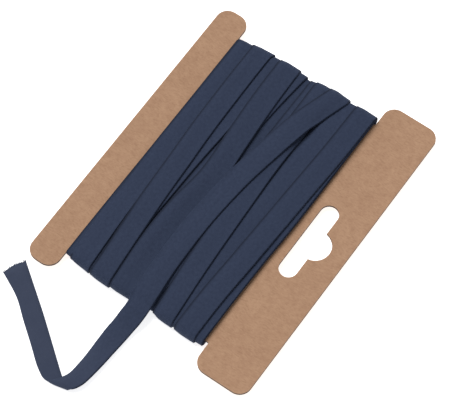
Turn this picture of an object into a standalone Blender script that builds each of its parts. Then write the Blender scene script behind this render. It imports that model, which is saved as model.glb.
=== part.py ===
"""Card of bias tape: a kraft board card with a hanging slot, folded bias tape wound round its
waist, and the loose end of the tape lying in front of it.

Metres, +Z up. The card lies flat. The origin is the middle of the card, on the surface that the
winding rests on. +X runs from the narrow flange to the wide one with the slot, and +Y along the
flanges, away from the loose end. Blender 4.5.
"""

import math

import bmesh
import bpy
from mathutils import Vector

MM = 0.001
GAP = 0.3 * MM

# Card
CARD_WIDTH = 93.0 * MM
CARD_LENGTH = 122.0 * MM
CARD_THICKNESS = 1.0 * MM
NARROW_FLANGE = 11.9 * MM
NARROW_FLANGE_LENGTH = 120.0 * MM
WIDE_FLANGE = 21.2 * MM
WAIST_LENGTH = 102.0 * MM
CORNER_RADIUS = 4.6 * MM
NOTCH_RADIUS = 0.5 * MM
ARC_STEP = math.radians(11.25)

# Hanging slot: a long slot with a round bump on its outer side
SLOT_LENGTH = 32.0 * MM
SLOT_WIDTH = 6.9 * MM
SLOT_FROM_FLANGE = 2.9 * MM
BUMP_RADIUS = 5.95 * MM
BUMP_FROM_SLOT_MIDDLE = 2.55 * MM

# Tape: a strip folded in four
TAPE_WIDTH = 8.6 * MM
TAPE_THICKNESS = 0.75 * MM
TAPE_EDGE = 0.25 * MM
LOOSE_THICKNESS = 1.0 * MM

# Winding: it bends round each edge of the waist on this inner radius
INNER_RADIUS = CARD_THICKNESS / 2 + GAP
CARD_MIDDLE = 2.95 * MM
BACK_DEPTH = CARD_MIDDLE - INNER_RADIUS
UNDER_DEPTH = 10.0 * MM
WELD_DISTANCE = 0.02 * MM
CROWN = 0.3 * MM
WAIST_END = WAIST_LENGTH / 2
WAIST_LEFT = -CARD_WIDTH / 2 + NARROW_FLANGE
WAIST_RIGHT = CARD_WIDTH / 2 - WIDE_FLANGE

# Where the middle of each turn crosses the front, in mm, from the far edge of the waist (+Y)
# to the near one (-Y), in the order in which the turns were wound over the first layer
FRONT_ROWS = (1.0, 0.69, 0.33, 0.0, -0.33, -0.69, -1.0)
TURNS = (
    ("right_edge", (20.6, 20.6, 20.5, 20.4, 19.9, 19.6, 19.6)),
    ("right_inner", (12.2, 12.0, 11.7, 11.3, 10.8, 10.4, 9.9)),
    ("middle_right", (4.2, 4.0, 4.0, 4.7, 5.3, 6.0, 7.4)),
    ("middle", (1.1, 1.0, 0.8, 0.5, 0.0, -1.0, -2.8)),
    ("middle_left", (-9.0, -10.5, -11.5, -12.0, -12.3, -12.5, -12.5)),
    ("left_inner", (-18.3, -18.8, -19.6, -20.5, -21.0, -21.4, -21.6)),
    ("left_edge", (-29.9, -29.9, -30.0, -30.0, -30.0, -29.9, -29.8)),
    ("upper_middle", (-12.3, -11.8, -10.6, -9.3, -11.6, -12.0, -10.7)),
    ("upper_left", (-24.1, -24.0, -23.7, -22.8, -21.9, -20.5, -19.1)),
    ("upper_right", (3.4, 3.8, 3.9, 4.3, 4.9, 6.0, 7.2)),
    ("upper_edge", (20.5, 20.2, 19.4, 18.6, 17.9, 17.0, 16.8)),
    ("last", (9.0, 4.1, 1.0, -1.5, -3.0, -3.2, -1.8)),
)

# Loose end: its two edges in mm, from where it leaves the winding, over the fold, to the cut.
# Columns: left edge x, y, z, then right edge x, y, z.
LOOSE_END = (
    (-5.7, -53.8, 6.0, 2.5, -53.9, 6.0),
    (-6.1, -58.6, 4.2, 2.4, -59.0, 4.5),
    (-6.5, -62.4, 2.6, 1.8, -62.5, 3.1),
    (-7.0, -66.4, 1.4, 1.4, -66.6, 2.3),
    (-7.1, -71.5, 0.9, 1.0, -71.7, 2.4),
    (-7.0, -77.6, 0.8, 0.6, -78.1, 2.7),
    (-7.2, -82.6, 0.9, 0.1, -83.4, 3.0),
    (-7.5, -86.3, 1.3, -0.5, -87.3, 3.2),
    (-8.4, -89.0, 2.0, -1.5, -89.7, 3.1),
    (-9.7, -91.2, 2.3, -2.5, -90.9, 2.7),
    (-11.0, -92.8, 2.0, -3.3, -91.3, 2.0),
    (-12.3, -93.3, 1.3, -4.1, -91.4, 1.2),
    (-13.6, -93.0, 0.8, -5.6, -90.8, 0.7),
    (-15.3, -92.2, 0.6, -8.3, -89.1, 0.6),
    (-18.8, -90.0, 0.6, -13.4, -85.2, 0.6),
    (-24.4, -85.6, 0.7, -20.1, -80.0, 0.8),
    (-32.1, -79.8, 0.7, -27.9, -74.0, 0.9),
    (-39.2, -74.3, 0.6, -35.0, -68.8, 0.8),
    (-48.3, -69.7, 0.6, -44.6, -61.8, 0.7),
)
STEPS_PER_ROW = 3

# A turn starts inside the first layer. These are shares of the tape's thickness.
SUNK_SHARE = 0.3
SUNK_STEP = 0.03
RISE_STEP = 0.02

# Steps of a turn down the front, up the back and round each edge of the waist
FRONT_STEPS = 12
BACK_STEPS = 6
EDGE_STEPS = 4


def arc(centre, radius, start, turn):
    """Points on an arc from the angle start through the angle turn, both in degrees."""
    steps = max(2, math.ceil(abs(math.radians(turn)) / ARC_STEP))
    angles = [math.radians(start + turn * i / steps) for i in range(steps + 1)]
    return [(centre[0] + radius * math.cos(a), centre[1] + radius * math.sin(a)) for a in angles]


def card_outline():
    """The card's outline, anticlockwise: two flanges with round corners, and a waist between."""
    left, right = -CARD_WIDTH / 2, CARD_WIDTH / 2
    wide_end, narrow_end = CARD_LENGTH / 2, NARROW_FLANGE_LENGTH / 2
    r, n = CORNER_RADIUS, NOTCH_RADIUS
    upper = []
    upper += arc((right - r, wide_end - r), r, 0, 90)
    upper += arc((WAIST_RIGHT + r, wide_end - r), r, 90, 90)
    upper += arc((WAIST_RIGHT - n, WAIST_END + n), n, 0, -90)
    upper += arc((WAIST_LEFT + n, WAIST_END + n), n, 270, -90)
    upper += arc((WAIST_LEFT - r, narrow_end - r), r, 0, 90)
    upper += arc((left + r, narrow_end - r), r, 90, 90)
    lower = [(x, -y) for x, y in reversed(upper)]
    return upper + lower


def slot_outline():
    """The hanging slot, with the bump towards the card's outer edge."""
    middle = WAIST_RIGHT + SLOT_FROM_FLANGE + SLOT_WIDTH / 2
    radius = SLOT_WIDTH / 2
    end = SLOT_LENGTH / 2 - radius
    bump_x = middle + BUMP_FROM_SLOT_MIDDLE
    reach = math.degrees(math.acos((middle + radius - bump_x) / BUMP_RADIUS))
    points = arc((bump_x, 0), BUMP_RADIUS, -reach, 2 * reach)
    points += arc((middle, end), radius, 0, 180)
    points += arc((middle, -end), radius, 180, 180)
    return points


def material(name, colour, roughness):
    made = bpy.data.materials.new(name)
    made.use_nodes = True
    shader = made.node_tree.nodes["Principled BSDF"]
    shader.inputs["Base Color"].default_value = (*colour, 1.0)
    shader.inputs["Roughness"].default_value = roughness
    shader.inputs["Metallic"].default_value = 0.0
    return made


def make_card(parts, board):
    """The card, die-cut from one sheet of board."""
    curve = bpy.data.curves.new("card", "CURVE")
    curve.dimensions = "2D"
    curve.fill_mode = "BOTH"
    curve.extrude = CARD_THICKNESS / 2
    for outline in (card_outline(), slot_outline()):
        spline = curve.splines.new("POLY")
        spline.points.add(len(outline) - 1)
        for point, (x, y) in zip(spline.points, outline):
            point.co = (x, y, 0, 1)
        spline.use_cyclic_u = True
    card = bpy.data.objects.new("card", curve)
    card.location.z = CARD_MIDDLE
    card.data.materials.append(board)
    parts.objects.link(card)
    return card


def stations():
    """Stations once round the waist, as (side, value): down the front, round the near edge, up
    the back and round the far edge. The value is y on a side, and an angle on an edge."""
    found = [("front", WAIST_END * (1 - 2 * i / FRONT_STEPS)) for i in range(FRONT_STEPS + 1)]
    found += [("near", math.pi * i / EDGE_STEPS) for i in range(1, EDGE_STEPS)]
    found += [("back", WAIST_END * (2 * i / BACK_STEPS - 1)) for i in range(BACK_STEPS + 1)]
    found += [("far", math.pi * i / EDGE_STEPS) for i in range(EDGE_STEPS - 1, 0, -1)]
    return found


STATIONS = stations()


def place(station, x, height):
    """The point at x and at this height above the winding's inner surface."""
    side, value = station
    radius = INNER_RADIUS + height
    if side == "front":
        rise = CROWN * (1 - (value / WAIST_END) ** 2) * height / BACK_DEPTH
        return Vector((x, value, CARD_MIDDLE + radius + rise))
    if side == "back":
        return Vector((x, value, CARD_MIDDLE - radius))
    out = 1 if side == "far" else -1
    across = WAIST_END + radius * math.sin(value)
    return Vector((x, out * across, CARD_MIDDLE + radius * math.cos(value)))


def front_x(row, y):
    """Where a turn's middle crosses the front at y."""
    place_in_rows = y / WAIST_END
    for i in range(len(FRONT_ROWS) - 1):
        a, b = FRONT_ROWS[i], FRONT_ROWS[i + 1]
        if b <= place_in_rows <= a:
            return (row[i] + (row[i + 1] - row[i]) * (a - place_in_rows) / (a - b)) * MM
    return row[0 if place_in_rows > 0 else -1] * MM


def turn_path(row):
    """x at each station: down the front as the row says, then up the back in a slight curve."""
    start, end = row[-1] * MM, row[0] * MM
    path = []
    for side, value in STATIONS:
        if side == "front":
            path.append(front_x(row, value))
        elif side == "back":
            share = (value + WAIST_END) / (2 * WAIST_END)
            path.append(start + (end - start) * share**2)
        else:
            path.append(start if side == "near" else end)
    return path


def surface_height(layers, number, x):
    """How high the tape already lies at a station and an x."""
    height = TAPE_THICKNESS
    for path, left, right in layers:
        offset = (x - path[number]) / TAPE_WIDTH + 0.5
        if 0 <= offset <= 1:
            height = max(height, left[number] + (right[number] - left[number]) * offset)
    return height


def lay_turn(layers, path):
    """The heights of a turn's two edges at each station, so that it lies on those below it."""
    left, right = [], []
    samples = [TAPE_WIDTH * share for share in (-0.42, -0.28, -0.14, 0.0, 0.14, 0.28, 0.42)]
    half = len(samples) // 2
    for number, x in enumerate(path):
        below = [surface_height(layers, number, x + offset) for offset in samples]
        left.append(max(below[: half + 1]) + TAPE_THICKNESS)
        right.append(max(below[half:]) + TAPE_THICKNESS)
    return path, left, right


def solid_from_rings(name, rings):
    """A mesh object skinned over rings of points, with the last ring joined to the first."""
    shape = bmesh.new()
    made = [[shape.verts.new(point) for point in ring] for ring in rings]
    count = len(rings[0])
    for ring, after in zip(made, made[1:] + made[:1]):
        for i in range(count):
            j = (i + 1) % count
            shape.faces.new((ring[i], ring[j], after[j], after[i]))
    bmesh.ops.triangulate(shape, faces=shape.faces)
    bmesh.ops.recalc_face_normals(shape, faces=shape.faces)
    mesh = bpy.data.meshes.new(name)
    shape.to_mesh(mesh)
    shape.free()
    return bpy.data.objects.new(name, mesh)


def turn_ring(station, x, left, right, sunk):
    """The section of one turn, from inside the first layer up to its rounded top edges."""
    half, edge = TAPE_WIDTH / 2, TAPE_EDGE
    section = (
        (-half, sunk),
        (half, sunk),
        (half, right - edge),
        (half - edge, right),
        (-half + edge, left),
        (-half, left - edge),
    )
    return [place(station, x + across, height) for across, height in section]


def make_turns(helpers):
    """One helper solid for each turn that shows. No two have faces at the same height."""
    layers = []
    for number, (name, row) in enumerate(TURNS):
        path = turn_path(row)
        layers.append(lay_turn(layers, path))
        _, left, right = layers[-1]
        sunk = TAPE_THICKNESS * (SUNK_SHARE + SUNK_STEP * number)
        rise = TAPE_THICKNESS * RISE_STEP * number
        rings = [
            turn_ring(station, x, low + rise, high + rise, sunk)
            for station, x, low, high in zip(STATIONS, path, left, right)
        ]
        turn = solid_from_rings("turn_" + name, rings)
        turn.hide_render = True
        turn.display_type = "WIRE"
        helpers.objects.link(turn)


def make_winding(parts, helpers, cloth):
    """The first layer as one sleeve, with the turns wound over it joined on."""
    left, right = WAIST_LEFT + GAP, WAIST_RIGHT - GAP
    rings = []
    for station in STATIONS:
        corners = ((left, 0), (right, 0), (right, TAPE_THICKNESS), (left, TAPE_THICKNESS))
        rings.append([place(station, x, height) for x, height in corners])
    winding = solid_from_rings("winding", rings)
    winding.data.materials.append(cloth)
    parts.objects.link(winding)
    turns = bpy.data.collections.new("turns")
    helpers.children.link(turns)
    make_turns(turns)
    union = winding.modifiers.new("turns", "BOOLEAN")
    union.operation = "UNION"
    union.operand_type = "COLLECTION"
    union.collection = turns
    union.solver = "EXACT"
    union.use_self = True
    weld = winding.modifiers.new("weld", "WELD")
    weld.merge_threshold = WELD_DISTANCE
    bpy.ops.mesh.primitive_cube_add(size=1.0, location=(0, 0, -UNDER_DEPTH / 2))
    under = bpy.context.object
    under.name = "under"
    under.scale = (CARD_WIDTH, CARD_LENGTH, UNDER_DEPTH)
    under.hide_render = True
    under.display_type = "WIRE"
    for collection in list(under.users_collection):
        collection.objects.unlink(under)
    helpers.objects.link(under)
    press = winding.modifiers.new("pressed flat", "BOOLEAN")
    press.operation = "DIFFERENCE"
    press.object = under
    return winding


def smooth_row(rows, at):
    """A point on the smooth curve through the rows, at a fractional row number."""
    low = min(int(at), len(rows) - 2)
    share = at - low
    before, a, b = rows[max(low - 1, 0)], rows[low], rows[low + 1]
    after = rows[min(low + 2, len(rows) - 1)]
    found = []
    for p, q, r, s in zip(before, a, b, after):
        slope_in, slope_out = (r - p) / 2, (s - q) / 2
        rise = r - q
        bend = 3 * rise - 2 * slope_in - slope_out
        found.append(
            q + share * (slope_in + share * (bend + share * (slope_in + slope_out - 2 * rise)))
        )
    return found


def make_loose_end(parts, cloth):
    """The loose end as a sheet between its two edges."""
    count = (len(LOOSE_END) - 1) * STEPS_PER_ROW + 1
    shape = bmesh.new()
    made = []
    for i in range(count):
        row = [value * MM for value in smooth_row(LOOSE_END, i / STEPS_PER_ROW)]
        left, right = Vector(row[:3]), Vector(row[3:])
        made.append([shape.verts.new(left.lerp(right, share)) for share in (0, 0.5, 1)])
    for ring, after in zip(made, made[1:]):
        for i in range(len(ring) - 1):
            shape.faces.new((ring[i], ring[i + 1], after[i + 1], after[i]))
    mesh = bpy.data.meshes.new("loose_end")
    shape.to_mesh(mesh)
    shape.free()
    loose = bpy.data.objects.new("loose_end", mesh)
    loose.data.materials.append(cloth)
    parts.objects.link(loose)
    sheet = loose.modifiers.new("thickness", "SOLIDIFY")
    sheet.thickness = LOOSE_THICKNESS
    sheet.offset = 0.0
    sheet.use_even_offset = True
    return loose


def main():
    for old in list(bpy.data.objects):
        bpy.data.objects.remove(old)
    parts = bpy.data.collections.new("card of bias tape")
    helpers = bpy.data.collections.new("helpers")
    for collection in (parts, helpers):
        bpy.context.scene.collection.children.link(collection)
    board = material("kraft_board", (0.45, 0.27, 0.18), 0.85)
    cloth = material("navy_cotton", (0.038, 0.051, 0.089), 0.9)
    make_card(parts, board)
    make_winding(parts, helpers, cloth)
    make_loose_end(parts, cloth)


main()
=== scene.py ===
"""Looks of the card of bias tape: kraft board, wound folded tape and its loose end.

Lengths here are in millimetres and are turned into metres where a mesh or an object is made.
"""

import math
from collections import namedtuple

import bpy
import numpy as np
from mathutils import Matrix, Vector, noise


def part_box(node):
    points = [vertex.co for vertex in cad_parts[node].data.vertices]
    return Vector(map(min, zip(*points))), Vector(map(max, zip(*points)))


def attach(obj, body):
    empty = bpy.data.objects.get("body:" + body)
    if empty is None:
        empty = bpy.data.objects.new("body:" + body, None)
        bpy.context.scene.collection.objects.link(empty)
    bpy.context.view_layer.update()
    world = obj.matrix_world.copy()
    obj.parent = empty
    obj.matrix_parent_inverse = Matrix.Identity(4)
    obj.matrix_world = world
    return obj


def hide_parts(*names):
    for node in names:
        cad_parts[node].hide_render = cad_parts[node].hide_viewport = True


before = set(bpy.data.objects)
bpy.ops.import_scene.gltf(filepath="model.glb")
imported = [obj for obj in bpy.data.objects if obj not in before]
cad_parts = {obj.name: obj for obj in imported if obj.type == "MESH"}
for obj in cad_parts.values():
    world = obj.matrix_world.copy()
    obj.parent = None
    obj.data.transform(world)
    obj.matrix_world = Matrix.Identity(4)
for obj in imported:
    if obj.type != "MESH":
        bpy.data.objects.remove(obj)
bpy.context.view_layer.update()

MM = 0.001

# Card, from its node. Its waist goes from -WAIST_END to WAIST_END in y.
CARD_LOW, CARD_HIGH = [[value / MM for value in corner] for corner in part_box("card")]
CARD_MIDDLE = (CARD_LOW[2] + CARD_HIGH[2]) / 2
CARD_THICKNESS = CARD_HIGH[2] - CARD_LOW[2]
WAIST_END = 51.0

# Winding: its gap to the board, how far its front bulges, and its depth behind the board, down to
# just above the surface that the part lies on
GAP = 0.3
INNER_RADIUS = CARD_THICKNESS / 2 + GAP
CROWN = 0.3
REST_CLEARANCE = 0.02
BACK_DEPTH = CARD_MIDDLE - INNER_RADIUS - REST_CLEARANCE

# Folded tape. Its upper half ends TAPE_STEP before the lower one on the open side, and the flaps
# inside end FLAP_SHORT before the closed fold.
TAPE_WIDTH = 8.5
TAPE_THICKNESS = 0.75
LOOSE_THICKNESS = 0.9
CLOTH_THICKNESS = 0.15
TAPE_STEP = 0.16
FLAP_SHORT = 1.1
FACE_CROWN = 0.05
FOLD_ROUND = 0.3

# The closed fold on the left is pressed to a share of the thickness, over a share of the width
PRESSED_FOLD = 0.42
PRESSED_SHARE = 0.35

# The open edge on the right stands off what it lies on, by an amount that changes along the tape
EDGE_LIFT = 0.17
EDGE_LIFT_WIDTH = 0.9
EDGE_LIFT_CHANGES = 0.09

# The painted shade line along the closed fold, which stands for the shade in its crease, fades out
# between 2 x SHADE_FADES and SHADE_FADES before the loose end
FOLD_SHADE_WIDTH = 1.0
SHADE_FADES = 50.0

# How dark that painted shade line is, as values of y on the front and the shares there. Elsewhere
# it is 1.
FOLD_SHADE_LINES = {
    "left_edge": ((-51.0, -30.0, -18.0), (0.0, 0.0, 1.0)),
    "upper_left": ((-51.0, -45.0, -32.0, -24.0), (1.0, 2.5, 2.5, 1.0)),
}

# Where the layers under the last turn sink. Columns: x of the deepest line at the far end, the
# middle and the near end of the front, the y at which it is deepest, half of its length, how wide
# its slope is on the left and on the right, and the share of the height that it takes.
SOFT_SPOTS = (
    (-5.0, -5.0, -7.4, -20.0, 29.0, 9.5, 4.0, 0.64),
    (2.0, -1.8, 3.0, -55.0, 18.0, 1.6, 2.8, 0.60),
    (8.6, 6.5, 5.5, 32.0, 7.0, 1.6, 3.2, 0.50),
)

# The places on the front where a turn's x is given, as shares of WAIST_END, from the far edge of
# the waist to the near one
FRONT_ROWS = (1.0, 0.69, 0.33, 0.0, -0.33, -0.69, -1.0)

# The even turns of the first layer
FIRST_LAYER_START = -30.3
FIRST_LAYER_STEP = 8.47
FIRST_LAYER_TURNS = 6

# The turns over it, from the lowest to the last. Columns: the name, the share of the tape's usual
# width, and x of the turn's middle at each place on the front.
TURNS = (
    ("right_edge_first", 1.0, (20.5, 20.5, 20.5, 20.3, 19.8, 19.5, 19.5)),
    ("right_edge", 1.0, (20.6, 20.6, 20.5, 20.4, 19.9, 19.6, 19.6)),
    ("right_inner", 1.0, (12.2, 12.0, 11.7, 11.3, 10.8, 10.4, 9.9)),
    ("middle", 1.0, (1.1, 1.0, 0.8, 0.5, 0.0, -1.0, -2.8)),
    ("middle_left", 1.0, (-9.0, -10.5, -11.5, -12.0, -12.3, -12.5, -12.5)),
    ("left_inner", 1.0, (-18.3, -18.8, -19.6, -20.5, -21.0, -21.4, -21.6)),
    ("left_edge", 1.0, (-29.9, -29.9, -30.0, -30.0, -29.8, -29.0, -28.0)),
    ("upper_middle", 1.06, (-12.3, -11.8, -10.8, -9.8, -11.6, -11.85, -10.55)),
    ("upper_left", 0.97, (-24.0, -23.9, -23.5, -22.6, -21.7, -20.4, -19.1)),
    ("upper_right", 1.0, (3.2, 3.4, 3.5, 4.1, 4.9, 6.0, 7.2)),
    ("upper_edge", 1.0, (20.5, 20.2, 19.4, 18.6, 17.9, 17.0, 16.8)),
    ("last", 1.05, (8.8, 3.9, 0.4, -2.1, -3.4, -3.35, -2.0)),
)

# Steps of a turn, and how many of them the last turn goes past the front
FRONT_STEPS = 44
BACK_STEPS = 14
EDGE_STEPS = 8
LEAVES_AFTER = 1

# How far a turn wanders from its row, and how quickly that changes from step to step
WANDER = 0.12
WANDER_CHANGES = 0.11

# Columns of the grid of heights that the turns are laid on, and the number of places across a turn
GRID_LEFT = -38.0
GRID_STEP = 0.25
GRID_COLUMNS = 264
ACROSS = 13

# Pulling a turn taut: the rounds, the pull of each neighbour, and how many rows of the turn before
# stay in place
RELAX_ROUNDS = 60
ALONG_PULL = 0.36
ACROSS_PULL = 0.14
KEPT_ROWS = 4

# The last turn's edges bend down over a width, by these shares at these y
DRAPE_WIDTH = 3.0
DRAPE_Y = (-51.0, -28.0, -12.0, 0.0, 10.0, 18.0, 25.0, 35.0, 41.0, 51.0)
DRAPE_LEFT = (1.0, 1.0, 1.0, 1.0, 0.3, 0.0, 0.0, 0.0, 0.0, 0.0)
DRAPE_RIGHT = (0.0, 0.5, 0.9, 0.9, 0.9, 0.9, 0.0, 0.0, 0.9, 0.9)

# Loose end: its two edges, from where it leaves the winding, over the fold, to the cut.
# Columns: left edge x, y, z, then right edge x, y, z. The end of the winding goes before them.
LOOSE_END = (
    (-5.7, -54.9, 5.7, 2.7, -55.2, 5.9),
    (-6.1, -58.6, 4.0, 2.4, -59.0, 4.3),
    (-6.5, -62.4, 2.4, 1.8, -62.5, 2.9),
    (-7.0, -66.4, 1.4, 1.4, -66.6, 2.3),
    (-7.1, -71.5, 0.9, 1.0, -71.7, 2.4),
    (-7.0, -77.6, 0.8, 0.6, -78.1, 2.7),
    (-7.2, -82.6, 0.9, 0.1, -83.4, 3.0),
    (-7.5, -86.3, 1.3, -0.5, -87.3, 3.2),
    (-8.4, -89.0, 2.0, -1.5, -89.7, 3.1),
    (-9.7, -91.2, 2.3, -2.5, -90.9, 2.7),
    (-11.0, -92.8, 2.0, -3.3, -91.3, 2.0),
    (-12.3, -93.3, 1.3, -4.1, -91.4, 1.2),
    (-13.6, -93.0, 0.8, -5.6, -90.8, 0.7),
    (-15.3, -92.2, 0.6, -8.3, -89.1, 0.6),
    (-18.8, -90.0, 0.6, -13.4, -85.2, 0.6),
    (-24.4, -85.6, 0.7, -20.1, -80.0, 0.8),
    (-32.1, -79.8, 0.7, -27.9, -74.0, 0.9),
    (-39.2, -74.3, 0.6, -35.0, -68.8, 0.8),
    (-48.3, -69.7, 0.6, -44.6, -61.8, 0.7),
)

# Steps between its rows, steps in which the winding's last ring turns into its own, and the length
# over which painted light makes it lighter
LOOSE_STEPS = 6
BLEND_STEPS = 14
PAINTED_LIGHT_OVER = 55.0

# The cut: how far its middle stands out, and how uneven it is
CUT_BULGE = 0.8
CUT_FRAY = 0.3
FRAY_CHANGES = 2.5

# Loose threads at the cut
THREADS = 26
THREAD_OUTWARD = (-0.80, 0.55, 0.0)
THREAD_STEPS = 3
THREAD_RADIUS = 0.11
THREAD_TAPER = 0.2
THREAD_SHORTEST = 0.8
THREAD_LONGER = 1.6
THREAD_SCATTER = 0.4
THREAD_LEAN = 0.7
THREAD_CURL = 0.1
THREAD_ROOT = 0.3
THREAD_LOWEST = 0.1

# Kraft board. Colours are in linear light, scales are per metre and FIBRE_ANGLES are in radians.
BOARD_BROWN = (0.420, 0.243, 0.149, 1)
BOARD_WARM = (0.500, 0.304, 0.189, 1)
BOARD_LIGHT = (0.560, 0.352, 0.225, 1)
BOARD_DARK = (0.330, 0.185, 0.108, 1)
# Painted shade for the board's cut sides
BOARD_SIDE_SHADE = (0.080, 0.060, 0.046, 1)
MOTTLE_SCALE = 420.0
BOARD_BROAD_SCALE = 60.0
FIBRE_SCALE = 2400.0
FIBRE_STRETCH = (0.3, 1.0, 1.0)
FIBRE_ANGLES = (0.4, 1.5, 2.7)
BOARD_RELIEF = 0.12
BOARD_SOFT_EDGE = 0.12

# Navy cotton
NAVY_DARK = (0.0225, 0.0320, 0.0640, 1)
NAVY_LIGHT = (0.0365, 0.0505, 0.0930, 1)
# Painted shade for the crease along the closed fold
NAVY_FOLD_SHADE = (0.004, 0.006, 0.014, 1)
# Painted light that makes the loose end lighter than the winding
NAVY_LOOSE_PAINTED_LIGHT = (0.062, 0.075, 0.118, 1)
NAVY_SHEEN = (0.55, 0.65, 0.9, 1)
WEAVE_SCALE = (3000.0, 3000.0, 1.0)
SLUB_SCALE = 900.0
COTTON_BROAD_SCALE = 120.0
COTTON_RELIEF = 0.06

# Camera: the view of the photograph
CAMERA_AZIMUTH = 35.22
CAMERA_ELEVATION = 64.14
CAMERA_DISTANCE = 837.4
CAMERA_TARGET = (-1.03, -4.15)
CAMERA_FOCAL_PIXELS = 2398.3
CAMERA_NEAREST = 50.0
CAMERA_FARTHEST = 20000.0
PHOTO_WIDTH = 450
SENSOR = 36.0

# Stage. KEY_SPREAD is in degrees, like the camera's angles.
WHITE = (1, 1, 1, 1)
FLOOR_HALF = 3000.0
FLOOR_COLOUR = (0.95, 0.95, 0.95, 1)
FLOOR_GLOW = 0.75
SKY_STRENGTH = 0.30
KEY_STRENGTH = 2.3
KEY_SPREAD = 40
KEY_FROM = (-0.44, 0.10, 0.89)


def add_object(name, data):
    """A new object in the scene."""
    made = bpy.data.objects.new(name, data)
    bpy.context.scene.collection.objects.link(made)
    return made


def make_camera():
    """The camera, at the angle and distance of the photograph."""
    azimuth, elevation = math.radians(CAMERA_AZIMUTH), math.radians(CAMERA_ELEVATION)
    back = Vector(
        (
            math.sin(azimuth) * math.cos(elevation),
            -math.cos(azimuth) * math.cos(elevation),
            math.sin(elevation),
        )
    )
    right = Vector((math.cos(azimuth), math.sin(azimuth), 0))
    up = back.cross(right)
    target = Vector((*CAMERA_TARGET, CARD_MIDDLE + CARD_THICKNESS / 2)) * MM
    data = bpy.data.cameras.new("camera")
    data.sensor_width = SENSOR
    data.lens = SENSOR * CAMERA_FOCAL_PIXELS / PHOTO_WIDTH
    data.clip_start = CAMERA_NEAREST * MM
    data.clip_end = CAMERA_FARTHEST * MM
    camera = add_object("camera", data)
    turn = Matrix((right, up, back)).transposed().to_4x4()
    camera.matrix_world = Matrix.Translation(target + back * CAMERA_DISTANCE * MM) @ turn
    bpy.context.scene.camera = camera


class Nodes:
    """A short way to wire a material's nodes."""

    def __init__(self, name):
        self.material = bpy.data.materials.new(name)
        self.material.use_nodes = True
        self.tree = self.material.node_tree
        self.shader = self.tree.nodes["Principled BSDF"]

    def add(self, kind, inputs=None, **settings):
        node = self.tree.nodes.new(kind)
        for key, value in settings.items():
            setattr(node, key, value)
        for key, value in (inputs or {}).items():
            self.feed(node.inputs[key], value)
        return node

    def feed(self, socket, value):
        if isinstance(value, bpy.types.NodeSocket):
            self.tree.links.new(value, socket)
        else:
            socket.default_value = value

    def math(self, operation, first, second=None):
        node = self.add("ShaderNodeMath", operation=operation)
        self.feed(node.inputs[0], first)
        if second is not None:
            self.feed(node.inputs[1], second)
        return node.outputs[0]

    def noise(self, vector, scale, detail=3.0, roughness=0.5):
        inputs = {"Vector": vector, "Scale": scale, "Detail": detail, "Roughness": roughness}
        return self.add("ShaderNodeTexNoise", inputs).outputs["Fac"]

    def ramp(self, value, low, high):
        """The value stretched so that low becomes 0 and high becomes 1."""
        node = self.add("ShaderNodeMapRange", {"Value": value, "From Min": low, "From Max": high})
        return node.outputs["Result"]

    def mix(self, share, first, second):
        node = self.add("ShaderNodeMix", data_type="RGBA")
        self.feed(node.inputs[0], share)
        self.feed(node.inputs[6], first)
        self.feed(node.inputs[7], second)
        return node.outputs[2]

    def tint(self, colour, mask, strength, tone):
        """The colour, mixed with a tone as far as the mask and the strength say."""
        return self.mix(self.math("MULTIPLY", mask, strength), colour, tone)

    def bump(self, height, strength, distance):
        inputs = {"Height": height, "Strength": strength, "Distance": distance}
        return self.add("ShaderNodeBump", inputs).outputs["Normal"]


def board_material():
    """Kraft board: warm brown, mottled, with fine fibres, and painted shade on its cut sides."""
    n = Nodes("kraft board")
    position = n.add("ShaderNodeTexCoord").outputs["Object"]
    mottle = n.noise(position, MOTTLE_SCALE, 4.0, 0.65)
    broad = n.noise(position, BOARD_BROAD_SCALE)
    tones = []
    for angle in FIBRE_ANGLES:
        turned = n.add(
            "ShaderNodeMapping",
            {"Vector": position, "Rotation": (0, 0, angle), "Scale": FIBRE_STRETCH},
        ).outputs["Vector"]
        tones.append(n.noise(turned, FIBRE_SCALE, 2.0, 0.6))
    fibres = n.math("MAXIMUM", n.math("MAXIMUM", tones[0], tones[1]), tones[2])
    colour = n.mix(n.ramp(mottle, 0.3, 0.7), BOARD_BROWN, BOARD_WARM)
    colour = n.tint(colour, n.ramp(fibres, 0.60, 0.78), 0.45, BOARD_LIGHT)
    colour = n.tint(colour, n.ramp(fibres, 0.56, 0.45), 0.45, BOARD_DARK)
    colour = n.tint(colour, n.ramp(broad, 0.35, 0.75), 0.16, BOARD_DARK)
    normal = n.add("ShaderNodeNewGeometry").outputs["True Normal"]
    upward = n.add("ShaderNodeSeparateXYZ", {"Vector": normal}).outputs["Z"]
    # Painted shade: the upright cut sides of the board are darkened
    cut = n.ramp(n.math("ABSOLUTE", upward), 0.75, 0.35)
    colour = n.mix(cut, colour, BOARD_SIDE_SHADE)
    n.feed(n.shader.inputs["Base Color"], colour)
    n.shader.inputs["Roughness"].default_value = 0.82
    n.shader.inputs["Specular IOR Level"].default_value = 0.25
    relief = n.math("ADD", n.math("MULTIPLY", fibres, 0.6), n.math("MULTIPLY", mottle, 0.4))
    n.feed(n.shader.inputs["Normal"], n.bump(relief, 0.35, BOARD_RELIEF * MM))
    return n.material


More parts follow.
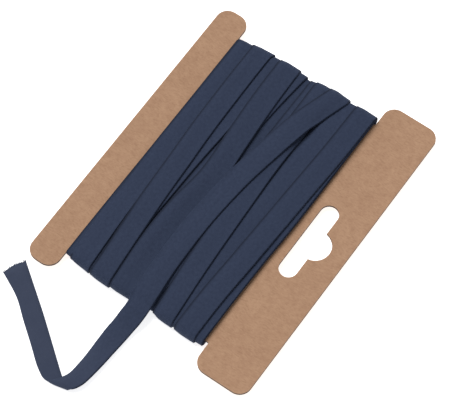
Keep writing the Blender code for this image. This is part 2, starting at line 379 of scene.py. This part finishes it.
def tape_material():
    """Navy cotton, woven plainly and cut on the bias, so its threads run at 45 degrees."""
    n = Nodes("navy cotton")
    uv = n.add("ShaderNodeUVMap", uv_map="tape").outputs["UV"]
    threads = n.add(
        "ShaderNodeMapping",
        {"Vector": uv, "Rotation": (0, 0, math.radians(45)), "Scale": WEAVE_SCALE},
    ).outputs["Vector"]
    both = n.add("ShaderNodeSeparateXYZ", {"Vector": threads})
    waves = [
        n.math("SINE", n.math("MULTIPLY", both.outputs[axis], math.pi)) for axis in ("X", "Y")
    ]
    weave = n.math("ADD", n.math("MULTIPLY", n.math("MULTIPLY", *waves), 0.5), 0.5)
    position = n.add("ShaderNodeTexCoord").outputs["Object"]
    slub = n.noise(uv, SLUB_SCALE, 3.0, 0.6)
    broad = n.noise(position, COTTON_BROAD_SCALE, 3.0, 0.55)
    # The fold attribute carries painted shade along the closed fold
    fold = n.add("ShaderNodeAttribute", attribute_name="fold").outputs["Fac"]
    # The loose attribute carries painted light on the loose end
    loose = n.add("ShaderNodeAttribute", attribute_name="loose").outputs["Fac"]
    colour = n.mix(n.ramp(slub, 0.25, 0.75), NAVY_DARK, NAVY_LIGHT)
    colour = n.tint(colour, n.ramp(weave, 0.15, 0.9), 0.35, NAVY_LIGHT)
    # Painted shade along the closed fold
    colour = n.tint(colour, fold, 0.85, NAVY_FOLD_SHADE)
    # Painted light on the loose end
    colour = n.tint(colour, loose, 0.62, NAVY_LOOSE_PAINTED_LIGHT)
    colour = n.tint(colour, n.ramp(broad, 0.3, 0.8), 0.25, NAVY_DARK)
    n.feed(n.shader.inputs["Base Color"], colour)
    n.shader.inputs["Roughness"].default_value = 0.88
    n.shader.inputs["Specular IOR Level"].default_value = 0.2
    n.shader.inputs["Sheen Weight"].default_value = 0.05
    n.shader.inputs["Sheen Roughness"].default_value = 0.6
    n.shader.inputs["Sheen Tint"].default_value = NAVY_SHEEN
    relief = n.math("ADD", n.math("MULTIPLY", weave, 0.7), n.math("MULTIPLY", slub, 0.5))
    n.feed(n.shader.inputs["Normal"], n.bump(relief, 0.5, COTTON_RELIEF * MM))
    return n.material


def wobble(*at):
    """Smooth noise round 0, which is always the same at a place."""
    return noise.noise(Vector(at))


def smooth_row(rows, at):
    """Values on the smooth curve through the rows, at a fractional row number."""
    low = min(max(int(at), 0), len(rows) - 2)
    share = at - low
    a, b = np.array(rows[low], float), np.array(rows[low + 1], float)
    before = np.array(rows[low - 1], float) if low else 2 * a - b
    after = np.array(rows[low + 2], float) if low + 2 < len(rows) else 2 * b - a
    slope_in, slope_out = (b - before) / 2, (after - a) / 2
    rise = b - a
    bend = 3 * rise - 2 * slope_in - slope_out
    return a + share * (slope_in + share * (bend + share * (slope_in + slope_out - 2 * rise)))


def stations():
    """Stations once round the waist, as (side, value): down the front, round the near edge, up
    the back and round the far edge. The value is y on a side, and an angle on an edge."""
    found = [("front", WAIST_END * (1 - 2 * i / FRONT_STEPS)) for i in range(FRONT_STEPS + 1)]
    found += [("near", math.pi * i / EDGE_STEPS) for i in range(1, EDGE_STEPS)]
    found += [("back", WAIST_END * (2 * i / BACK_STEPS - 1)) for i in range(BACK_STEPS + 1)]
    found += [("far", math.pi * i / EDGE_STEPS) for i in range(EDGE_STEPS - 1, 0, -1)]
    return found


STATIONS = stations()


def front_x(row, y):
    """Where a turn's middle crosses the front at y."""
    places = [-share for share in FRONT_ROWS]
    at = float(np.interp(-y / WAIST_END, places, range(len(places))))
    return float(smooth_row([[value] for value in row], at)[0])


def turn_path(row, next_row):
    """x at each station: down the front as the row says, then up the back to the next turn."""
    start, end = row[-1], next_row[0]
    path = []
    for side, value in STATIONS:
        if side == "front":
            path.append(front_x(row, value))
        elif side == "back":
            share = (value + WAIST_END) / (2 * WAIST_END)
            path.append(start + (end - start) * share * share * (3 - 2 * share))
        else:
            path.append(start if side == "near" else end)
    return np.array(path)


def sunk(x, y):
    """The share of the layers' height that is left where they sink. x may be an array."""
    left = 1.0
    along = y / WAIST_END
    for far, middle, near, deepest, half_length, slope_left, slope_right, share in SOFT_SPOTS:
        line = middle + (far - middle) * along if along > 0 else middle - (near - middle) * along
        across = np.clip((x - line) / np.where(x < line, slope_left, slope_right), -1, 1)
        depth = share * (0.5 + 0.5 * np.cos(math.pi * across))
        length = (y - deepest) / half_length
        left = left * (1 - depth / (1 + length**4))
    return left


def settled(station, x):
    """The share of the layers' height that is left at a station: all of it on the back."""
    side, value = station
    if side == "front":
        return sunk(x, value)
    if side == "back":
        return 1.0
    at_edge = sunk(x, WAIST_END if side == "far" else -WAIST_END)
    return at_edge + (1 - at_edge) * value / math.pi


def place(station, x, height, squeeze):
    """The point at x and at this height above the winding's inner surface."""
    side, value = station
    if side == "front":
        rise = CROWN * (1 - (value / WAIST_END) ** 2) * height / BACK_DEPTH
        return (x, value, CARD_MIDDLE + INNER_RADIUS + height + rise)
    if side == "back":
        return (x, value, CARD_MIDDLE - INNER_RADIUS - height * squeeze)
    radius = INNER_RADIUS + height * (1 + (squeeze - 1) * value / math.pi)
    out = 1 if side == "far" else -1
    return (x, out * (WAIST_END + radius * math.sin(value)), CARD_MIDDLE + radius * math.cos(value))


def pressed(across, width):
    """The share of the tape's thickness at a place across it: its closed fold is pressed flat."""
    share = np.clip((across / width + 0.5) / PRESSED_SHARE, 0, 1)
    return PRESSED_FOLD + (1 - PRESSED_FOLD) * share * share * (3 - 2 * share)


def tape_section(width, thickness):
    """The folded tape's section as points (across, up) along the middle of the cloth: a flap, the
    lower face, the closed fold on the left, the upper face and its own flap."""
    cloth = thickness / 4
    half = width / 2
    low, high = cloth / 2, thickness - cloth / 2
    bend = (high - low) / 2
    upper = half - TAPE_STEP
    points = [(-half + FLAP_SHORT, low + cloth), (0, low + cloth), (half - cloth, low + cloth)]
    points += [(half - cloth * 0.35, low + cloth * 0.5), (half - cloth, low)]
    points += [(share * half, low) for share in (0.55, 0.0, -0.55)]
    for degrees in (270, 225, 180, 135, 90):
        angle = math.radians(degrees)
        points.append((-half + bend + bend * math.cos(angle), low + bend + bend * math.sin(angle)))
    for share in (-0.78, -0.55, -0.25, 0.05, 0.35, 0.62, 0.82):
        points.append((share * half, high + FACE_CROWN * (1 - share * share)))
    points += [(upper - cloth, high), (upper - cloth * 0.35, high - cloth * 0.5)]
    points += [(upper - cloth, high - cloth), (0, high - cloth), (-half + FLAP_SHORT, high - cloth)]
    return [(across, up * float(pressed(across, width))) for across, up in points]


def fold_shade_marks(section, width):
    """How near each point of the section is to the closed fold on the left, from 0 to 1, for its
    painted shade.
    """
    return [max(0.0, 1 - (across + width / 2) / FOLD_SHADE_WIDTH) for across, _ in section]


def profile(across):
    """The share of the tape's thickness at a place across it, with its closed fold rounded."""
    left = np.clip((across + TAPE_WIDTH / 2) / FOLD_ROUND, 0, 1)
    return np.sqrt(1 - (1 - left) ** 2) * pressed(across, TAPE_WIDTH)


def lifted(across):
    """How far the tape's open edge stands off what it lies on."""
    from_edge = np.clip((TAPE_WIDTH / 2 - across) / EDGE_LIFT_WIDTH, 0, 1)
    return EDGE_LIFT * (1 - from_edge) ** 2


def relax(below, start):
    """The underside of a taut strip over what lies below it. start is the strip's last rows."""
    rows = np.vstack([start, below]) if len(start) else below.copy()
    fixed = len(start)
    floor = rows.copy()
    for _ in range(RELAX_ROUNDS):
        along = np.vstack([rows[:1], rows[:-1]]) + np.vstack([rows[1:], rows[-1:]])
        across = np.hstack([rows[:, :1], rows[:, :-1]]) + np.hstack([rows[:, 1:], rows[:, -1:]])
        rest = 1 - 2 * ALONG_PULL - 2 * ACROSS_PULL
        moved = ALONG_PULL * along + ACROSS_PULL * across + rest * rows
        rows[fixed:] = np.maximum(floor, moved)[fixed:]
    return rows[fixed:]


def draped(below, under, offsets):
    """The last turn's underside, with its edges bent down to the layers that they lie on."""
    half = TAPE_WIDTH / 2
    left = np.clip(1 - (offsets + half) / DRAPE_WIDTH, 0, 1)
    right = np.clip(1 - (half - offsets) / DRAPE_WIDTH, 0, 1)
    rows = []
    for (side, value), lower, upper in zip(STATIONS, below, under):
        y = value if side == "front" else -WAIST_END
        share = left * np.interp(y, DRAPE_Y, DRAPE_LEFT)
        share = share + right * np.interp(y, DRAPE_Y, DRAPE_RIGHT)
        rows.append(upper + (lower - upper) * share)
    return np.array(rows)


def fold_shade_line(name, station):
    """How dark the painted shade line along a turn's closed fold is at a station."""
    side, value = station
    if side != "front" or name not in FOLD_SHADE_LINES:
        return 1.0
    return float(np.interp(value, *FOLD_SHADE_LINES[name]))


def every_turn():
    """All turns, as (name, share of the usual width, row), in the order in which they are wound."""
    first_layer = [
        ("first_layer", 1.0, (FIRST_LAYER_START + FIRST_LAYER_STEP * i,) * len(FRONT_ROWS))
        for i in range(FIRST_LAYER_TURNS)
    ]
    return first_layer + list(TURNS)


def heights_below(grid, columns, path, offsets):
    """How high the layers below a turn are, at each of its stations and places across."""
    rows = []
    for heights, x in zip(grid, path):
        around = [
            np.interp(x + offsets + shift, columns, heights)
            for shift in (-GRID_STEP, 0, GRID_STEP)
        ]
        rows.append(np.max(around, axis=0))
    return np.array(rows)


# One step of the laid tape: its station, x of its middle, its share of the usual width, the heights
# of its underside across, whether it sinks with the layers, and how dark the painted shade on its
# fold is
Step = namedtuple("Step", "station x share under sinks shade")


def lay_tape():
    """Lays the tape turn by turn. Returns its steps, the places across it, and the depth of the
    layers on the back."""
    offsets = np.linspace(-TAPE_WIDTH / 2, TAPE_WIDTH / 2, ACROSS)
    columns = GRID_LEFT + GRID_STEP * np.arange(GRID_COLUMNS)
    grid = np.zeros((len(STATIONS), GRID_COLUMNS))
    turns = every_turn()
    laid = []
    start = np.zeros((0, ACROSS))
    for number, (name, share, row) in enumerate(turns):
        last = number == len(turns) - 1
        count = FRONT_STEPS + 1 + LEAVES_AFTER if last else len(STATIONS)
        path = turn_path(row, row if last else turns[number + 1][2])[:count]
        path += [WANDER * wobble(number * 7.3, i * WANDER_CHANGES, 0.5) for i in range(count)]
        if last:
            grid = np.array([heights * settled(at, columns) for heights, at in zip(grid, STATIONS)])
        below = heights_below(grid, columns, path, offsets * share)
        under = relax(below, start)
        start = under[-KEPT_ROWS:]
        if last:
            under = draped(below, under, offsets)
        ease = [0.5 + wobble(number * 3.7, i * EDGE_LIFT_CHANGES, 2.5) for i in range(count)]
        under = under + np.outer(np.clip(ease, 0, 1), lifted(offsets))
        for station, x, heights, underside in zip(STATIONS, path, grid, under):
            across = (columns - x) / share
            inside = np.abs(across) <= TAPE_WIDTH / 2
            top = np.interp(across[inside], offsets, underside)
            top += TAPE_THICKNESS * profile(across[inside])
            heights[inside] = np.maximum(heights[inside], top)
            laid.append(Step(station, x, share, underside, not last, fold_shade_line(name, station)))
    back = [side == "back" for side, _ in STATIONS]
    return laid, offsets, float(grid[back].max())


def mesh_piece(name, rings, marks, loose, lengths, across_lengths, material):
    """A strip of cloth skinned over rings of points in mm, with its lengths as UV, in metres."""
    count = len(rings[0])
    points = [tuple(value * MM for value in point) for ring in rings for point in ring]
    faces = []
    for i in range(len(rings) - 1):
        for j in range(count - 1):
            a = i * count + j
            faces.append((a, a + 1, a + count + 1, a + count))
    mesh = bpy.data.meshes.new(name)
    mesh.from_pydata(points, [], faces)
    uv = mesh.uv_layers.new(name="tape")
    where = np.array([(along, across) for along in lengths for across in across_lengths])
    corners = np.zeros(len(mesh.loops), dtype=np.int32)
    mesh.loops.foreach_get("vertex_index", corners)
    uv.data.foreach_set("uv", (where[corners] * MM).ravel())
    # Painted shade along the closed fold, kept as an attribute
    fold = mesh.attributes.new("fold", "FLOAT", "POINT")
    fold.data.foreach_set("value", marks.ravel())
    # Painted light on the loose end, kept as an attribute
    free = mesh.attributes.new("loose", "FLOAT", "POINT")
    free.data.foreach_set("value", np.repeat(loose, count))
    mesh.shade_smooth()
    mesh.materials.append(material)
    piece = add_object(name, mesh)
    solid = piece.modifiers.new("cloth", "SOLIDIFY")
    solid.thickness = CLOTH_THICKNESS * MM
    solid.offset = 0.0
    return piece


def running_lengths(points):
    """The distance along a row of points, from its first."""
    steps = [math.dist(a, b) for a, b in zip(points, points[1:])]
    return [0.0] + list(np.cumsum(steps))


def wound_rings():
    """The rings of the wound tape, the two edges of the last, and how dark the painted shade on
    each one's fold is.
    """
    laid, offsets, deepest = lay_tape()
    squeeze = BACK_DEPTH / deepest
    section = tape_section(TAPE_WIDTH, TAPE_THICKNESS)

    def point(step, across, up):
        x = step.x + across * step.share
        height = float(np.interp(across, offsets, step.under)) + up
        if step.sinks:
            height *= float(settled(step.station, x))
        return place(step.station, x, height, squeeze)

    rings = [[point(step, across, up) for across, up in section] for step in laid]
    half = TAPE_WIDTH / 2
    ends = [point(laid[-1], across, TAPE_THICKNESS / 2) for across in (-half, half)]
    return rings, ends, [step.shade for step in laid]


def loose_ring(row, before, after, thickness):
    """The ring of the folded tape between the two edges in the row, square to its run."""
    left, right = Vector(row[:3]), Vector(row[3:])
    normal = (after - before).cross(right - left).normalized()
    ring = []
    for across, up in tape_section(TAPE_WIDTH, thickness):
        point = left.lerp(right, across / TAPE_WIDTH + 0.5)
        ring.append(point + normal * (up - thickness / 2))
    return ring


def loose_rings(start_ring, ends):
    """The rings of the loose end, from the winding's last one over the fold to the cut."""
    rows = [(*ends[0], *ends[1])] + list(LOOSE_END)
    count = (len(rows) - 1) * LOOSE_STEPS + 1
    edges = [smooth_row(rows, i / LOOSE_STEPS) for i in range(count)]
    middles = [Vector((row[:3] + row[3:]) / 2) for row in edges]
    rings = []
    for i, row in enumerate(edges):
        before, after = middles[max(i - 1, 0)], middles[min(i + 1, count - 1)]
        share = min(i / BLEND_STEPS, 1.0)
        thickness = TAPE_THICKNESS + (LOOSE_THICKNESS - TAPE_THICKNESS) * share
        ring = loose_ring(row, before, after, thickness)
        if i == 0:
            shifts = [Vector(laid) - point for laid, point in zip(start_ring, ring)]
        fade = (1 - share) ** 2 * (1 + 2 * share)
        rings.append([tuple(point + shift * fade) for point, shift in zip(ring, shifts)])
    outward = (middles[-1] - middles[-2]).normalized()
    cut = []
    for (across, _), point in zip(tape_section(TAPE_WIDTH, LOOSE_THICKNESS), rings[-1]):
        out = CUT_BULGE * (1 - (2 * across / TAPE_WIDTH) ** 2)
        out += CUT_FRAY * wobble(*Vector(point) * FRAY_CHANGES)
        cut.append(tuple(Vector(point) + outward * out))
    rings[-1] = cut
    return rings[1:]


def make_tape(material):
    """The tape in one piece, wound round the card and then over its fold to the cut. Returns the
    piece, its length and its last ring."""
    wound, ends, shades = wound_rings()
    rings = wound + loose_rings(wound[-1], ends)
    lengths = running_lengths([np.mean(ring, axis=0) for ring in rings])
    beyond = np.array(lengths) - lengths[len(wound) - 1]
    section = tape_section(TAPE_WIDTH, TAPE_THICKNESS)
    # Painted shade along the closed fold, faded out before the loose end
    shaded = np.clip(-beyond / SHADE_FADES - 1, 0, 1)
    shaded[: len(wound)] *= shades
    piece = mesh_piece(
        "tape",
        rings,
        np.clip(np.outer(shaded, fold_shade_marks(section, TAPE_WIDTH)), 0, 1),
        # painted light, growing along the loose end
        np.clip(beyond / PAINTED_LIGHT_OVER, 0, 1),
        lengths,
        running_lengths(section),
        material,
    )
    return piece, lengths[-1], rings[-1]


def thread_points(number, ring):
    """The points of a loose thread that grows out of the cut: three at each of its steps."""
    share = (number + 0.5 + THREAD_SCATTER * wobble(number * 1.7, 0, 0)) / THREADS
    at = share * (len(ring) - 1)
    low = int(at)
    outward = Vector(THREAD_OUTWARD)
    root = Vector(ring[low]).lerp(Vector(ring[min(low + 1, len(ring) - 1)]), at - low)
    root -= outward * THREAD_ROOT
    length = THREAD_SHORTEST + THREAD_LONGER * abs(wobble(number * 3.1, 4.3, 0.4))
    lean = Vector([wobble(number * 2.3, axis * 5.0, 1.0) for axis in range(3)])
    along = (outward + lean * THREAD_LEAN).normalized()
    side = along.cross(Vector((0, 0, 1))).normalized() * THREAD_RADIUS
    lift = Vector((0, 0, THREAD_RADIUS))
    points = []
    for step in range(THREAD_STEPS + 1):
        share = step / THREAD_STEPS
        middle = root + along * length * share + lean * THREAD_CURL * share**2
        middle.z = max(middle.z, THREAD_LOWEST)
        thin = 1 - THREAD_TAPER * step
        points += [tuple((middle + corner * thin) * MM) for corner in (side, lift, -side)]
    return points


def thread_faces(first):
    """The faces of a thread whose points start at this number, with both of its ends closed."""
    faces = []
    for step in range(THREAD_STEPS):
        for corner in range(3):
            a = first + step * 3 + corner
            b = first + step * 3 + (corner + 1) % 3
            faces.append((a, b, b + 3, a + 3))
    tip = first + THREAD_STEPS * 3
    return faces + [(first + 2, first + 1, first), (tip, tip + 1, tip + 2)]


def make_threads(material, ring):
    """Short loose threads at the cut end."""
    points, faces = [], []
    for number in range(THREADS):
        faces += thread_faces(len(points))
        points += thread_points(number, ring)
    mesh = bpy.data.meshes.new("cut_threads")
    mesh.from_pydata(points, [], faces)
    uv = mesh.uv_layers.new(name="tape")
    uv.data.foreach_set("uv", np.zeros(len(mesh.loops) * 2))
    mesh.materials.append(material)
    return add_object("cut_threads", mesh)


def dress_card(material):
    """The board's own material, and slightly soft edges."""
    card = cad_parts["card"]
    card.data.materials.clear()
    card.data.materials.append(material)
    bevel = card.modifiers.new("soft edges", "BEVEL")
    bevel.width = BOARD_SOFT_EDGE * MM
    bevel.segments = 2
    bevel.limit_method = "ANGLE"
    bevel.angle_limit = math.radians(50)


def make_stage():
    """A pale floor, and soft light from the left of the photograph."""
    mesh = bpy.data.meshes.new("floor")
    half = FLOOR_HALF * MM
    corners = [(-half, -half, 0), (half, -half, 0), (half, half, 0), (-half, half, 0)]
    mesh.from_pydata(corners, [], [(0, 1, 2, 3)])
    n = Nodes("pale floor")
    n.shader.inputs["Base Color"].default_value = FLOOR_COLOUR
    n.shader.inputs["Roughness"].default_value = 0.9
    n.shader.inputs["Emission Color"].default_value = WHITE
    n.shader.inputs["Emission Strength"].default_value = FLOOR_GLOW
    mesh.materials.append(n.material)
    floor = add_object("floor", mesh)

    world = bpy.data.worlds.new("studio")
    world.use_nodes = True
    sky = world.node_tree.nodes["Background"]
    sky.inputs["Color"].default_value = WHITE
    sky.inputs["Strength"].default_value = SKY_STRENGTH
    bpy.context.scene.world = world

    lamp = bpy.data.lights.new("key", "SUN")
    lamp.energy = KEY_STRENGTH
    lamp.angle = math.radians(KEY_SPREAD)
    key = add_object("key", lamp)
    towards = Vector(KEY_FROM).normalized()
    key.rotation_euler = towards.to_track_quat("Z", "Y").to_euler()
    bpy.context.scene.view_settings.view_transform = "Standard"


def main():
    make_camera()
    make_stage()
    board = board_material()
    cotton = tape_material()
    dress_card(board)
    cut_width = running_lengths(tape_section(TAPE_WIDTH, TAPE_THICKNESS))[-1]
    tape, tape_length, cut = make_tape(cotton)
    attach(tape, "root")
    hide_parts("winding", "loose_end")
    threads = make_threads(cotton, cut)
    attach(threads, "root")
    print("tape", round(tape_length), "long and cut", round(cut_width, 1), "wide, in mm")


main()
